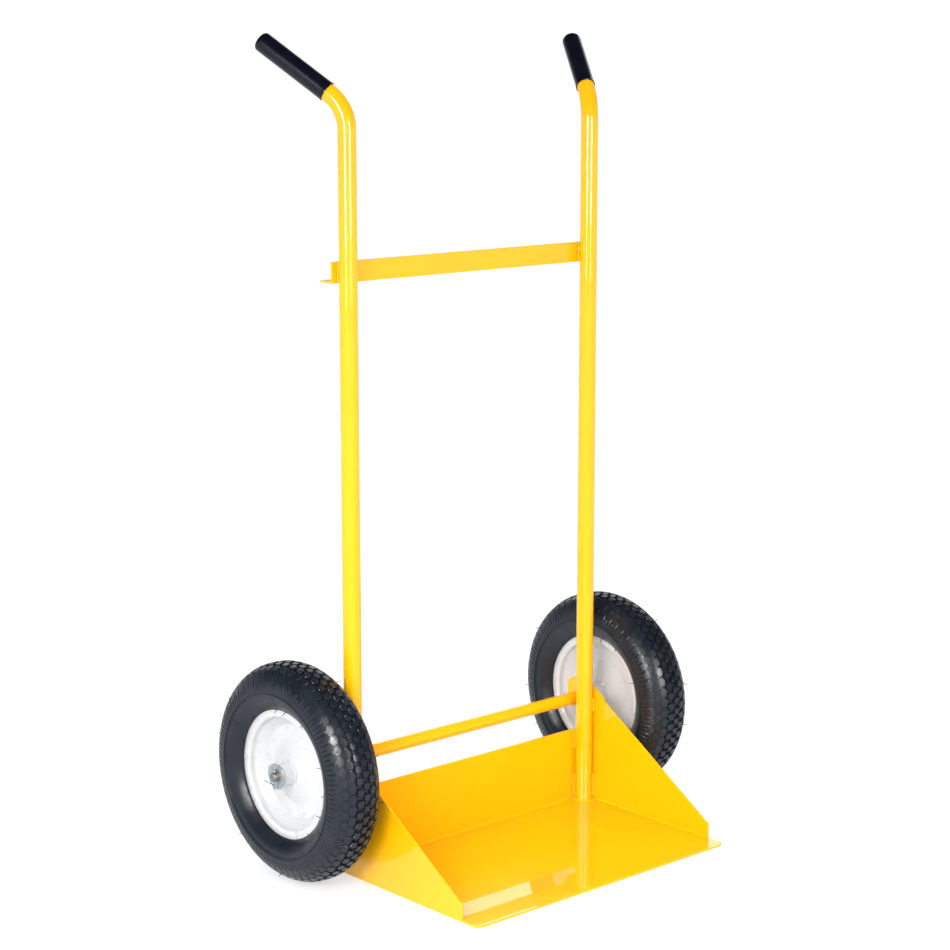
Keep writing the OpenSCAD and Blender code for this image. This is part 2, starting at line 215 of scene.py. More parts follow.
def bearing_steel():
    """Ground and polished bearing steel."""
    mat, bsdf = shader("bearing_steel", Metallic=1.0, Roughness=0.16)
    link(mat, ramp(mat, noise(mat, 300, 2), [(0.3, (0.56, 0.56, 0.57)), (0.7, (0.66, 0.66, 0.67))]),
         bsdf, "Base Color")
    bump(mat, bsdf, [(noise(mat, 700, 2, 0.5, (1, 8, 8)), 0.05, 0.0001)])
    return mat


MATERIALS = {f.__name__: f() for f in (
    yellow_paint, white_paint, tyre_rubber, tube_rubber, grip_vinyl,
    black_plastic, zinc_steel, bare_steel, bearing_steel)}


# ---- Mesh helpers ----

def piece(name, verts, faces, slot, body, *nodes, sharp=40):
    """A mesh that rides on body, has the finish of slot, and stands for the CAD nodes given."""
    mesh = bpy.data.meshes.new(name)
    mesh.from_pydata([tuple(v) for v in verts], [], [tuple(f) for f in faces])
    mesh.validate()
    mesh.materials.append(MATERIALS[slot])
    mesh.shade_smooth()
    mesh.set_sharp_from_angle(angle=math.radians(sharp))
    obj = bpy.data.objects.new(name, mesh)
    bpy.context.scene.collection.objects.link(obj)
    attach(obj, body)
    if nodes:
        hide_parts(*nodes)
    return obj


class Shape:
    """Gathers closed shells into one mesh."""

    def __init__(self):
        self.verts = []
        self.faces = []

    def add(self, verts, faces):
        start = len(self.verts)
        self.verts.extend(tuple(v) for v in verts)
        self.faces.extend(tuple(i + start for i in f) for f in faces)

    def piece(self, name, slot, body, *nodes, sharp=40):
        return piece(name, self.verts, self.faces, slot, body, *nodes, sharp=sharp)


def grid_faces(rows, columns, wrap_rows, wrap_columns, flip=False):
    """Quads over a rows x columns grid of vertices stored row by row."""
    faces = []
    for i in range(rows if wrap_rows else rows - 1):
        for j in range(columns if wrap_columns else columns - 1):
            a, b = i * columns + j, i * columns + (j + 1) % columns
            c, d = (i + 1) % rows * columns + (j + 1) % columns, (i + 1) % rows * columns + j
            faces.append((d, c, b, a) if flip else (a, b, c, d))
    return faces


def rounded(points, radius, steps=4, closed=True):
    """A polyline with its corners rounded off by arcs that reach at most radius along each side."""
    out, n = [], len(points)
    for i, p in enumerate(points):
        p = Vector(p)
        if not closed and i in (0, n - 1):
            out.append(p)
            continue
        before, after = Vector(points[i - 1]), Vector(points[(i + 1) % n])
        reach = min(radius, (before - p).length * 0.45, (after - p).length * 0.45)
        a = p + (before - p).normalized() * reach
        b = p + (after - p).normalized() * reach
        for k in range(steps + 1):
            t = k / steps
            out.append(a * (1 - t) ** 2 + p * 2 * t * (1 - t) + b * t * t)
    return out


def place_x(side, x, y, z):
    """Maps local (radius plane u, v, axial w) to the frame, with w pointing away from the middle."""
    return lambda u, v, w: (side * (x + w), y + u, z + v)


def lathe(shape, outline, place, segments=96):
    """Adds a closed outline of (radius, axial) points, turned about the axis that place sets."""
    rows = len(outline)
    verts = []
    for r, w in outline:
        for k in range(segments):
            angle = 2 * math.pi * k / segments
            verts.append(place(r * math.cos(angle), r * math.sin(angle), w))
    shape.add(verts, oriented(verts, grid_faces(rows, segments, True, True)))


def oriented(verts, faces):
    """The faces, turned over if the closed mesh they make is inside out."""
    points = np.array([tuple(v) for v in verts])
    volume = 0.0
    for f in faces:
        for k in range(1, len(f) - 1):
            a, b, c = points[f[0]], points[f[k]], points[f[k + 1]]
            volume += a @ np.cross(b, c)
    return faces if volume > 0 else [tuple(reversed(f)) for f in faces]


def sweep(shape, path, radii, segments=24, inner=None):
    """Adds a round bar along path, or a tube when inner gives the bore's radii; the ends are flat."""
    path = [Vector(p) for p in path]
    n = len(path)
    tangents = [(path[min(i + 1, n - 1)] - path[max(i - 1, 0)]).normalized() for i in range(n)]
    normal = tangents[0].orthogonal().normalized()
    frames = []
    for i in range(n):
        normal = (normal - tangents[i] * normal.dot(tangents[i])).normalized()
        frames.append((normal.copy(), tangents[i].cross(normal)))

    def rings(sizes):
        verts = []
        for p, (u, v), r in zip(path, frames, sizes):
            for k in range(segments):
                angle = 2 * math.pi * k / segments
                verts.append(p + (u * math.cos(angle) + v * math.sin(angle)) * r)
        return verts

    outer = rings(radii)
    if inner is None:
        faces = grid_faces(n, segments, False, True)
        faces.append(tuple(range(segments)))
        faces.append(tuple(reversed(range((n - 1) * segments, n * segments))))
        shape.add(outer, oriented(outer, faces))
        return
    bore = rings(inner)
    verts = outer + bore
    faces = grid_faces(n, segments, False, True)
    offset = n * segments
    faces += [tuple(i + offset for i in reversed(f)) for f in grid_faces(n, segments, False, True)]
    last = (n - 1) * segments
    for k in range(segments):
        m = (k + 1) % segments
        faces.append((m, k, k + offset, m + offset))
        faces.append((last + k, last + m, last + m + offset, last + k + offset))
    shape.add(verts, oriented(verts, faces))


def bead(shape, start, end, radius, seed, pitch=3.2 * MM):
    """A weld bead laid in overlapping ripples from start to end, with full rounded ends."""
    chance = random.Random(seed)
    start, end = Vector(start), Vector(end)
    length = (end - start).length
    count = max(12, round(length / (0.55 * MM)))
    path, radii = [], []
    for k in range(count + 1):
        t = k / count
        along = length * t
        ripple = 0.5 + 0.5 * math.cos(2 * math.pi * along / pitch)
        cap = min(1.0, math.sqrt(max(0.0, min(along, length - along) / radius * 1.6 + 0.02)))
        wander = radius * 0.07
        nudge = Vector([chance.uniform(-wander, wander) for _ in range(3)])
        path.append(start.lerp(end, t) + nudge)
        radii.append(radius * (0.86 + 0.14 * ripple) * cap)
    sweep(shape, path, radii, 14)


# ---- Uprights and grips ----

TUBE_WALL = 2 * MM
BEND_Z = 1338 * MM
BEND_R = 78 * MM
LEAN = math.radians(54.5)
SPLAY = math.radians(31)
GRIP_GAP = 2 * MM
GRIP_LEN = 152 * MM
GRIP_R = 18 * MM


def handle_line(side, stations):
    """Points on an upright's centre line; a station is a length past the start of the bend."""
    points = []
    arc = BEND_R * LEAN
    for s in stations:
        if s <= 0:
            out, up = 0, s
        elif s <= arc:
            angle = s / BEND_R
            out, up = BEND_R * (1 - math.cos(angle)), BEND_R * math.sin(angle)
        else:
            out = BEND_R * (1 - math.cos(LEAN)) + (s - arc) * math.sin(LEAN)
            up = BEND_R * math.sin(LEAN) + (s - arc) * math.cos(LEAN)
        x = side * (TUBE_X + out * math.sin(SPLAY))
        points.append(Vector((x, out * math.cos(SPLAY), BEND_Z + up)))
    return points


def upright(name, side):
    """The bent tube, from the toe plate to inside the grip, with its end edges broken."""
    arc = BEND_R * LEAN
    foot = TOE_TOP - BEND_Z
    end = arc + GRIP_GAP + GRIP_LEN - 4 * MM
    break_edge = 0.4 * MM
    stations = [foot, foot + break_edge]
    stations += list(np.linspace(foot + 40 * MM, 0, 40))
    stations += list(np.linspace(0, arc, 40))[1:]
    stations += list(np.linspace(arc, end - break_edge, 12))[1:] + [end]
    radii = [TUBE_R] * len(stations)
    radii[0] = radii[-1] = TUBE_R - break_edge
    shape = Shape()
    sweep(shape, handle_line(side, stations), radii, 64, [TUBE_R - TUBE_WALL] * len(stations))
    shape.piece(f"{name}_upright_tube", "yellow_paint", "frame", f"{name}_upright")


def grip(name, side):
    """The pushed-on vinyl sleeve: a blind tube with a domed end and a rolled, stretched mouth."""
    arc = BEND_R * LEAN
    mouth, dome = arc + GRIP_GAP, 8 * MM
    outline = [(0.0, GRIP_R - 0.5 * MM), (0.5 * MM, GRIP_R + 0.25 * MM), (1.6 * MM, GRIP_R + 0.35 * MM),
               (3 * MM, GRIP_R + 0.2 * MM), (7 * MM, GRIP_R), (20 * MM, GRIP_R - 0.1 * MM)]
    straight = GRIP_LEN - dome
    outline += [(s, GRIP_R - 0.1 * MM) for s in np.linspace(30 * MM, straight, 12)]
    flat = GRIP_R - 0.1 * MM - dome
    for k in range(1, 11):
        angle = math.pi / 2 * k / 10
        outline.append((straight + dome * math.sin(angle), flat + dome * math.cos(angle)))
    for share in (0.7, 0.35, 0.02):
        outline.append((GRIP_LEN, flat * share))
    stations = [mouth + s for s, _ in outline]
    line = handle_line(side, stations)
    axis = (line[-1] - line[0]).normalized()
    base = handle_line(side, [mouth])[0]
    u = axis.orthogonal().normalized()
    v = axis.cross(u)

    def place(a, b, w):
        return base + u * a + v * b + axis * w

    bore = TUBE_R + 0.05 * MM
    depth = GRIP_LEN - 4 * MM
    profile = [(r, s) for s, r in outline] + [(0.02 * bore, depth), (bore, depth), (bore, 0.0)]
    shape = Shape()
    lathe(shape, profile, place, 72)
    shape.piece(f"{name}_grip_sleeve", "grip_vinyl", "frame", f"{name}_grip")


for name, side in SIDES.items():
    upright(name, side)
    grip(name, side)


# ---- Flat steel: CAD nodes with broken edges ----

def soften(node, width, slot):
    """Gives a carried-over CAD node broken edges and its finish."""
    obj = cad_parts[node]
    weld = obj.modifiers.new("join", "WELD")
    weld.merge_threshold = 1e-5
    bevel = obj.modifiers.new("edge", "BEVEL")
    bevel.width = width
    bevel.segments = 3
    bevel.limit_method = "ANGLE"
    bevel.angle_limit = math.radians(35)
    bevel.harden_normals = True
    finish(node, slot)


def finish(node, slot):
    """Gives a carried-over CAD node its material."""
    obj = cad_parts[node]
    obj.data.materials.clear()
    obj.data.materials.append(MATERIALS[slot])


soften("toe_plate", 0.7 * MM, "yellow_paint")
soften("back_plate", 0.5 * MM, "yellow_paint")
soften("crossbar", 0.7 * MM, "yellow_paint")
for name in SIDES:
    soften(f"{name}_side_plate", 0.5 * MM, "yellow_paint")
    soften(f"{name}_axle_lug", 0.7 * MM, "yellow_paint")


# ---- Axle group ----

def ring_outline(outer, inner, length, edge):
    """A flat-ended ring's outline with its four corners rounded."""
    corners = [(inner, 0.0), (outer, 0.0), (outer, length), (inner, length)]
    return [tuple(p) for p in rounded([(r, w) for r, w in corners], edge, 4)]


def turned_pair(label, node, slot, edge, bore):
    """Replaces a node of two like rings, one on each side, by finely turned ones."""
    lo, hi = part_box(node)
    outer = (hi.z - lo.z) / 2
    inner_x = min(abs(v.co.x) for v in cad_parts[node].data.vertices)
    shape = Shape()
    for side in (-1, 1):
        outline = ring_outline(outer, bore, hi.x - inner_x, edge)
        lathe(shape, outline, place_x(side, inner_x, AXLE_Y, AXLE_Z), 96)
    shape.piece(label, slot, "frame", node)


ROD_R = 8 * MM
turned_pair("axle_spacers", "spacers", "zinc_steel", 0.5 * MM, ROD_R + 0.05 * MM)
turned_pair("inner_washer_pair", "inner_washers", "zinc_steel", 0.6 * MM, ROD_R + 0.05 * MM)
turned_pair("outer_washer_pair", "outer_washers", "zinc_steel", 0.7 * MM, ROD_R + 0.05 * MM)


def axle_tube():
    lo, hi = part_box("axle_tube")
    radius = (hi.z - lo.z) / 2
    outline = ring_outline(radius, radius - 2.5 * MM, hi.x - lo.x, 0.3 * MM)
    shape = Shape()
    lathe(shape, outline, place_x(1, lo.x, AXLE_Y, AXLE_Z), 72)
    shape.piece("axle_tube_painted", "yellow_paint", "frame", "axle_tube")


axle_tube()
soften("axle_rod", 0.25 * MM, "bare_steel")


def split_pin(name, side):
    """A split pin bent from half-round wire: the eye, the shank, a straight leg and a bent one."""
    lo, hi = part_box(f"{name}_split_pin")
    wire = 1.1 * MM
    eye_r = 2.3 * MM
    x = (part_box("right_split_pin")[0].x + eye_r + wire) * side
    top = hi.z - wire
    centre = Vector((x, AXLE_Y, top - eye_r))
    below = AXLE_Z - ROD_R - 4 * MM
    shape = Shape()
    eye = []
    for k in range(29):
        angle = math.radians(-70 + 320 * k / 28)
        eye.append(centre + Vector((math.cos(angle) * eye_r, 0, math.sin(angle) * eye_r)))
    first = [Vector((x + 0.75 * MM, AXLE_Y, z)) for z in (below, AXLE_Z + ROD_R)]
    last = [Vector((x - 0.75 * MM, AXLE_Y, z)) for z in (AXLE_Z + ROD_R, below)]
    out = side
    straight = [Vector((x - 0.6 * MM, AXLE_Y, below - s * MM)) for s in (2, 5, 9, 13)]
    tip = Vector((x + out * 21.5 * MM, AXLE_Y, AXLE_Z - 1.4 * MM))
    elbow = Vector((x + out * 1.6 * MM, AXLE_Y, below - 1.2 * MM))
    bent = [tip.lerp(elbow, t) + Vector((0, 0, -1.2 * MM * math.sin(math.pi * t))) for t in np.linspace(0, 1, 9)]
    if side > 0:
        path = bent + first + eye + last + straight
    else:
        path = straight[::-1] + first + eye + last + bent[::-1]
    path = smooth_path(path, 3)
    radii = [wire] * len(path)
    for k in range(3):
        radii[k] = radii[-1 - k] = wire * (0.55 + 0.15 * k)
    sweep(shape, path, radii, 16)
    shape.piece(f"{name}_split_pin_wire", "zinc_steel", "frame", f"{name}_split_pin")


def smooth_path(points, rounds):
    """Corner cutting on an open polyline, which keeps its two ends."""
    points = [Vector(p) for p in points]
    for _ in range(rounds):
        cut = [points[0]]
        for a, b in zip(points, points[1:]):
            cut += [a.lerp(b, 0.25), a.lerp(b, 0.75)]
        points = cut + [points[-1]]
    return points


for name, side in SIDES.items():
    split_pin(name, side)


# ---- Welds ----

def weld_beads():
    """Stitch beads up each side of the uprights, at the crossbar and at the plates."""
    bar, plates = Shape(), Shape()
    front_y = BAR_LO.y - 2.6 * MM
    seed = 1
    for side in (-1, 1):
        for reach in (-11.6, 11.6):
            x = side * TUBE_X + reach * MM
            bead(bar, (x, front_y, BAR_LO.z + 0.5 * MM), (x, front_y, BAR_HI.z - 0.5 * MM), 2.6 * MM, seed)
            seed += 1
        x = side * (TUBE_X - 11.8 * MM)
        y = BACK_LO.y - 2.6 * MM
        for low, high in ((TOE_TOP + 5 * MM, 56 * MM), (108 * MM, BACK_HI.z - 1 * MM)):
            bead(plates, (x, y, low), (x, y, high), 2.6 * MM, seed)
            seed += 1
        x = side * (SIDE_LO.x - 2.6 * MM)
        for low, high in ((TOE_TOP + 5 * MM, 56 * MM), (184 * MM, 214 * MM)):
            bead(plates, (x, -11.8 * MM, low), (x, -11.8 * MM, high), 2.6 * MM, seed)
            seed += 1
    bar.piece("crossbar_weld_beads", "yellow_paint", "frame", "crossbar_welds")
    plates.piece("upright_weld_beads", "yellow_paint", "frame", "upright_welds")


def ring_bead(shape, centre, u, v, axis, radius, size, seed, pitch=4.2 * MM, squash=1.0):
    """A rippled weld ring of the given radius in the plane of u and v."""
    chance = random.Random(seed)
    count = round(2 * math.pi * radius / (0.8 * MM))
    ripples = round(2 * math.pi * radius / pitch)
    section = 10
    verts = []
    for k in range(count):
        angle = 2 * math.pi * k / count
        wave = 0.5 + 0.5 * math.cos(ripples * angle + 0.6 * math.sin(angle * 3))
        thick = size * (0.84 + 0.16 * wave) * (1 + chance.uniform(-0.03, 0.03))
        out = u * math.cos(angle) + v * math.sin(angle)
        middle = centre + out * radius
        for j in range(section):
            turn = 2 * math.pi * j / section
            verts.append(middle + out * math.cos(turn) * thick + axis * math.sin(turn) * thick * squash)
    shape.add(verts, oriented(verts, grid_faces(count, section, True, True)))


def ring_welds():
    """The welds round the axle tube at the side plates."""
    up, x_axis, y_axis = Vector((0, 0, 1)), Vector((1, 0, 0)), Vector((0, 1, 0))
    ends = Shape()
    for side in (-1, 1):
        centre = Vector((side * (SIDE_LO.x - 0.6 * MM), AXLE_Y, AXLE_Z))
        ring_bead(ends, centre, y_axis, up, x_axis, 13.2 * MM, 2.4 * MM, 20 + side)
    ends.piece("axle_weld_beads", "yellow_paint", "frame", "axle_welds")


weld_beads()
ring_welds()
soften("scoop_welds", 0.2 * MM, "yellow_paint")


def foot_beads():
    """The fillet run round each upright's foot, in front of the scoop's corner."""
    shape = Shape()
    for side in (-1, 1):
        path, radii = [], []
        chance = random.Random(40 + side)
        for k in range(61):
            turn = 160 * k / 60
            angle = math.radians(190 + turn if side > 0 else 350 - turn)
            ripple = 0.5 + 0.5 * math.cos(k * 1.25)
            radius = TUBE_R + 1.4 * MM
            spot = Vector((side * TUBE_X + math.cos(angle) * radius, math.sin(angle) * radius, TOE_TOP + 1.2 * MM))
            path.append(spot)
            radii.append((1.9 + 0.35 * ripple + chance.uniform(-0.05, 0.05)) * MM)
        sweep(shape, path, radii, 12)
    shape.piece("foot_weld_beads", "yellow_paint", "frame")


foot_beads()


# ---- Wheels ----

HUB_FACE = 17.6 * MM
RIM_T = 2.4 * MM
SECTION_R = 48 * MM
HALF_FLAT = 4 * MM
SECTION_MID = TYRE_R - SECTION_R
PITCHES = 60

RIM_FACE = [(20, 17.6), (24, 17.6), (30, 15.5), (58, 3.6), (63, 2.4), (86, 2.4), (89, 5.5),
            (102, 19.5), (102.5, 27.5), (106, 31), (118.5, 31)]
RIM_BACK = [(118.5, 28.6), (106.5, 28.6), (104.4, 26.5), (104.4, 18.5), (90.8, 3.8), (88, 0),
            (62.6, 0), (57.3, 1.3), (29, 13.2), (23.5, 15.2), (20, 15.2)]


def rim_outline():
    """A pressed rim half: the seen face out to a flange with a rolled edge, and the back."""
    face = rounded([(r * MM, w * MM) for r, w in RIM_FACE], 4 * MM, 6, closed=False)
    back = rounded([(r * MM, w * MM) for r, w in RIM_BACK], 3 * MM, 5, closed=False)
    edge = [(118.9 * MM, 30.4 * MM), (118.9 * MM, 29.2 * MM)]
    return [tuple(p) for p in face] + edge + [tuple(p) for p in back]


def rims(name, side):
    """The two pressed halves of a rim, back to back on the wheel's middle plane."""
    outline = rim_outline()
    outer, inner = Shape(), Shape()
    lathe(outer, outline, place_x(side, WHEEL.x, AXLE_Y, AXLE_Z), 192)
    outer.piece(f"{name}_rim_outer_pressing", "white_paint", f"{name}_wheel", f"{name}_rim_outer", sharp=60)
    lathe(inner, [(r, -w) for r, w in outline], place_x(side, WHEEL.x, AXLE_Y, AXLE_Z), 192)
    inner.piece(f"{name}_rim_inner_pressing", "white_paint", f"{name}_wheel", f"{name}_rim_inner", sharp=60)


def hub(name, side):
    """The hub tube with rounded mouths, and a weld run at each disc."""
    lo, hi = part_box("right_hub")
    half = (hi.x - lo.x) / 2
    radius, bore, seat = 20 * MM, 16.2 * MM, 17.5 * MM
    depth = 11.5 * MM
    corners = [(radius, -half), (radius, half), (seat, half), (seat, half - depth), (bore, half - depth),
               (bore, depth - half), (seat, depth - half), (seat, -half)]
    outline = [tuple(p) for p in rounded(corners, 0.7 * MM, 4)]
    shape = Shape()
    lathe(shape, outline, place_x(side, WHEEL.x, AXLE_Y, AXLE_Z), 96)
    axes = (Vector((0, 1, 0)), Vector((0, 0, 1)), Vector((1, 0, 0)))
    for k, offset in enumerate((HUB_FACE + 1.0 * MM, -HUB_FACE - 1.0 * MM)):
        centre = Vector((side * (WHEEL.x + offset), AXLE_Y, AXLE_Z))
        ring_bead(shape, centre, *axes, radius + 0.9 * MM, 2.2 * MM, 60 + k)
    shape.piece(f"{name}_hub_tube", "white_paint", f"{name}_wheel", f"{name}_hub")


# The tyre's section is walked by s, the length along the section from the crown, in metres
FLANK = HALF_FLAT + SECTION_R * math.pi / 2


def section_point(s, height=0.0):
    """(radius, offset) of the tyre's outer section at length s from the crown, raised by height."""
    sign = 1 if s >= 0 else -1
    s = abs(s)
    if s <= HALF_FLAT:
        return TYRE_R + height, sign * s
    angle = (s - HALF_FLAT) / SECTION_R
    reach = SECTION_R + height
    return SECTION_MID + reach * math.cos(angle), sign * (HALF_FLAT + reach * math.sin(angle))


def carcass_height(s):
    """How far the carcass lies under the tread's envelope at length s."""
    s = abs(s) / MM
    table = ((0, -5.4), (18, -5.2), (22, -4.0), (27, -2.4), (42, -1.7), (50, -1.2), (54, -0.5), (60, -0.35), (79, -0.3))
    for (a, ha), (b, hb) in zip(table, table[1:]):
        if s <= b:
            return (ha + (hb - ha) * (s - a) / (b - a)) * MM
    return table[-1][1] * MM


def tyre(name, side):
    """The tyre: a ribbed carcass, its honeycomb tread blocks, mould lines and whiskers."""
    place = place_x(side, WHEEL.x, AXLE_Y, AXLE_Z)

    def at(angle, s, height=0.0):
        r, w = section_point(s, height)
        return place(r * math.cos(angle), r * math.sin(angle), w)

    shape = Shape()
    carcass(shape, place)
    blocks(shape, at)
    mould_lines(shape, place)
    whiskers(shape, place, side)
    shape.piece(f"{name}_tyre_treaded", "tyre_rubber", f"{name}_wheel", f"{name}_tyre", sharp=32)


def wall_outline():
    """The side from the shoulder down to the bead: (radius, offset, share of the ribs' depth)."""
    points = []
    for s in np.linspace(54, 76, 17):
        r, w = section_point(s * MM, carcass_height(s * MM))
        depth = 1.0 if 57 < s < 72 else 0.5 if s in (54, 76) else 0.8
        points.append((r, w, depth))
    low_side = [(153.4, 51.9), (152.4, 52.0), (151.8, 50.5), (150.4, 50.3), (149.8, 51.6), (148.6, 51.5),
                (147.9, 49.7), (145, 49.2), (140, 48.3), (134, 45.2), (128, 41.0), (123.5, 37.0),
                (120.5, 33.9), (119.2, 32.4), (118.9, 31.3)]
    points += [(r * MM, w * MM, 0.0) for r, w in low_side]
    return points


def carcass(shape, place):
    """A closed ring with fine radial ribs pressed into each shoulder."""
    per_rib = 6
    segments = 2 * PITCHES * per_rib
    crown = [(*section_point(s * MM, carcass_height(s * MM)), 0.0) for s in np.linspace(-50, 50, 33)]
    wall = wall_outline()
    other = [(r, -w, d) for r, w, d in reversed(wall)]
    inside = [(110, 29.5), (119.5, 29.6), (126, 33.5), (135, 37.5), (152, 40.5), (175, 36), (188, 22), (192, 0)]
    inner = [(r * MM, w * MM, 0.0) for r, w in inside]
    inner += [(r, -w, 0.0) for r, w, _ in reversed(inner[:-1])]
    ring = other + crown + wall + inner
    verts = []
    for r, w, depth in ring:
        for k in range(segments):
            angle = 2 * math.pi * k / segments
            step = k % per_rib
            groove = {0: 1.1, 1: 0.35, per_rib - 1: 0.35}.get(step, 0.0) * MM * depth
            dr, dw = r - SECTION_MID, w
            scale = 1 - groove / max(math.hypot(dr, dw), 1e-6)
            radius, offset = SECTION_MID + dr * scale, dw * scale
            verts.append(place(radius * math.cos(angle), radius * math.sin(angle), offset))
    shape.add(verts, oriented(verts, grid_faces(len(ring), segments, True, True)))


def block(shape, at, angle, s, outline, low, high, edge):
    """A tread block: an outline of (along the tread, across it) in metres, with chamfered top edges."""
    centre_r = section_point(s)[0]
    n = len(outline)
    cx = sum(p[0] for p in outline) / n
    cy = sum(p[1] for p in outline) / n
    verts = []
    for shrink, height in ((0.0, low), (0.0, high - edge), (edge, high)):
        for u, v in outline:
            reach = math.hypot(u - cx, v - cy)
            k = 1 - shrink / reach
            u2, v2 = cx + (u - cx) * k, cy + (v - cy) * k
            verts.append(at(angle + u2 / centre_r, s + v2, height))
    verts.append(at(angle + cx / centre_r, s + cy, high + 0.1 * MM))
    faces = [tuple(reversed(range(n)))]
    for row in (0, 1):
        for k in range(n):
            a, b = row * n + k, row * n + (k + 1) % n
            faces.append((a, b, b + n, a + n))
    faces += [(2 * n + k, 2 * n + (k + 1) % n, 3 * n) for k in range(n)]
    shape.add(verts, oriented(verts, faces))


def hexagon(length, width, notch=0.0, step=0.5 * MM):
    """A six-sided block outline with its points across the tread; notch bites into its long sides."""
    a, b = length / 2, width / 2
    points = [(a, 0.55 * b), (a, -0.55 * b), (0.42 * a, -b), (-0.42 * a, -b), (-a, -0.55 * b),
              (-a, 0.55 * b), (-0.42 * a, b), (0.42 * a, b)]
    if notch:
        points.insert(1, (a - notch, 0.0))
        points.insert(6, (-a + notch, 0.0))
    return jagged(points, step)


def jagged(points, depth):
    """The outline with a small step cut into and out of every side."""
    out = []
    for (x0, y0), (x1, y1) in zip(points, points[1:] + points[:1]):
        run = math.hypot(x1 - x0, y1 - y0)
        nx, ny = (y1 - y0) / run, (x0 - x1) / run
        out.append((x0, y0))
        for share, sign in ((0.35, 1), (0.65, -1)):
            out.append((x0 + (x1 - x0) * share + nx * depth * sign, y0 + (y1 - y0) * share + ny * depth * sign))
    return out


def blocks(shape, at):
    """Rows of blocks: three knobbly rows at the crown, then two close rows and the shoulder fingers."""
    turn = 2 * math.pi / PITCHES
    chance = random.Random(7)
    for k in range(PITCHES):
        for row in range(-3, 4):
            reach = abs(row)
            angle = (k + 0.5 * (reach % 2)) * turn
            flip = 1 if row >= 0 else -1
            wobble = 1 + chance.uniform(-0.02, 0.02)
            if reach == 0:
                outline = hexagon(15.0 * MM * wobble, 11.5 * MM, 2.6 * MM, 0.9 * MM)
                block(shape, at, angle, 0.0, outline, -6.2 * MM, -0.15 * MM, 0.9 * MM)
            elif reach == 1:
                outline = hexagon(16.0 * MM * wobble, 12.5 * MM, 2.2 * MM, 0.9 * MM)
                block(shape, at, angle, flip * 13.6 * MM, outline, -6.2 * MM, -0.2 * MM, 0.9 * MM)
            elif reach == 2:
                outline = hexagon(17.0 * MM * wobble, 13.8 * MM)
                block(shape, at, angle, flip * 28.8 * MM, outline, -3 * MM, -0.35 * MM, 0.5 * MM)
            else:
                outline = hexagon(16.2 * MM * wobble, 13.0 * MM)
                block(shape, at, angle, flip * 41.8 * MM, outline, -2.5 * MM, -0.4 * MM, 0.4 * MM)
        for flip in (-1, 1):
            finger(shape, at, k * turn, flip, turn)


def finger(shape, at, angle, flip, turn):
    """The shoulder's outermost block: a pointed finger that fades into the ribs of the wall."""
    half = 7.2 * MM
    outline = [(0.0, -6.2 * MM), (half, -2.2 * MM), (half, 5.0 * MM), (0.35 * half, 9.0 * MM),
               (-0.35 * half, 9.0 * MM), (-half, 5.0 * MM), (-half, -2.2 * MM)]
    if flip < 0:
        outline = [(u, -v) for u, v in outline]
    block(shape, at, angle, flip * 52.4 * MM, outline, -2 * MM, -0.3 * MM, 0.4 * MM)


def mould_lines(shape, place):
    """Thin raised lines that the mould's parts leave across each inner wall, every 30 degrees."""
    wall = [(r * MM, w * MM) for r, w in ((147.6, 49.7), (144, 49.3), (138, 47.3), (132, 43.9), (127, 40.2), (122.5, 36.0))]
    chance = random.Random(11)
    for flip in (-1, 1):
        for k in range(12):
            angle = math.radians(30 * k + chance.uniform(-2.5, 2.5))
            ridge(shape, place, wall, angle, flip)


def ridge(shape, place, wall, angle, flip):
    """A low ridge, under a millimetre wide, laid on the wall at one angle."""
    half, rise = 0.45 * MM, 0.5 * MM
    verts = []
    for r, w in wall:
        for side, lift in ((-1, -0.4), (1, -0.4), (0.4, 1), (-0.4, 1)):
            turn = angle + side * half / r
            offset = w + lift * rise
            verts.append(place(r * math.cos(turn), r * math.sin(turn), flip * offset))
    n = len(wall)
    faces = grid_faces(n, 4, False, True)
    faces += [(0, 1, 2, 3), tuple(reversed(range((n - 1) * 4, n * 4)))]
    shape.add(verts, oriented(verts, faces))


def whiskers(shape, place, side):
    """The thin rubber hairs that vents in the mould leave at the beads and on the shoulders."""
    chance = random.Random(23 + side)
    for flip in (-1, 1):
        for k in range(14):
            angle = math.radians(360 / 14 * k + chance.uniform(-9, 9))
            hair(shape, place, angle, 121.5 * MM, flip * 34.6 * MM, (-0.75, flip * 0.66), chance.uniform(4, 11), chance)
        for k in range(16):
            angle = math.radians(360 / 16 * k + chance.uniform(-9, 9))
            r = chance.choice((128, 137, 143)) * MM
            w = {128: 40.6, 137: 46.6, 143: 49.0}[round(r / MM)] * MM
            hair(shape, place, angle, r, flip * w, (0.1, flip), chance.uniform(0.8, 1.6), chance)
        for k in range(9):
            angle = math.radians(40 * k + chance.uniform(-14, 14))
            r, w = section_point(flip * 44 * MM, -0.6 * MM)
            out = (math.cos(40 * MM / SECTION_R), flip * math.sin(40 * MM / SECTION_R))
            hair(shape, place, angle, r, w, out, chance.uniform(4, 9), chance)


def hair(shape, place, angle, r, w, out, length, chance):
    """One whisker, rooted at (r, w) on the wall and leaning out along (radial, axial)."""
    u = Vector((math.cos(angle), math.sin(angle)))
    lean = chance.uniform(-0.5, 0.5)
    path, radii = [], []
    for k in range(5):
        t = k / 4
        along = (length * t - 0.6 * (1 - t)) * MM
        radial = r + out[0] * along
        turn = angle + lean * along * t / r
        path.append(place(radial * math.cos(turn), radial * math.sin(turn), w + out[1] * along))
        radii.append((0.85 - 0.4 * t) * MM)
    sweep(shape, path, radii, 6)


